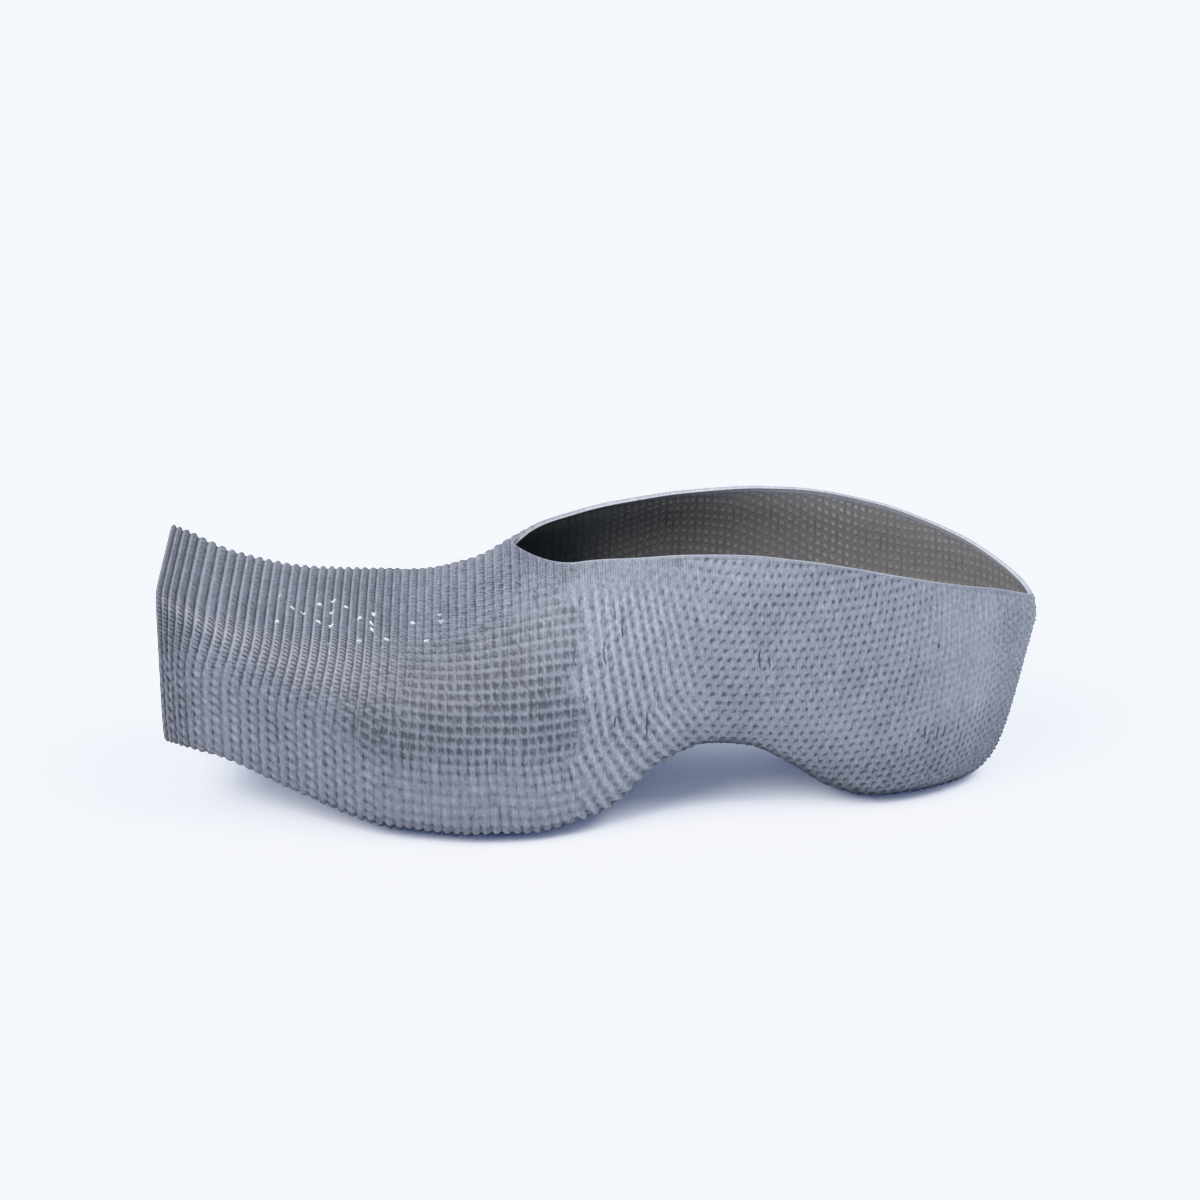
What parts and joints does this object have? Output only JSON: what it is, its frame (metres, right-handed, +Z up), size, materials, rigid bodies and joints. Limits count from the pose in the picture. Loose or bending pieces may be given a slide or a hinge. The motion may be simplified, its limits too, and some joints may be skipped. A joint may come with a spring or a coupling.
{
  "type": "heeled slip-on shoe",
  "caption": "Grey one-piece printed slip-on shoe with a raised square toe, almond collar, arched sole, integral stub heel, beaded rib texture and a loose footbed insole.",
  "frame": {"origin": "on the floor under the middle of the shoe's box", "axes": "+X from toe to heel, -Y to the outer side of the foot, +Z up from the floor"},
  "size_m": [0.2719, 0.1011, 0.0865],
  "materials": {
    "printed_shell": "flexible printed plastic, matt mid grey with fine layer lines and rows of raised beads",
    "footbed": "dark grey brushed felt over foam"
  },
  "bodies": {
    "root": {"upper_and_sole_shell": "printed_shell", "footbed_insole": "footbed"}
  },
  "joints": []
}
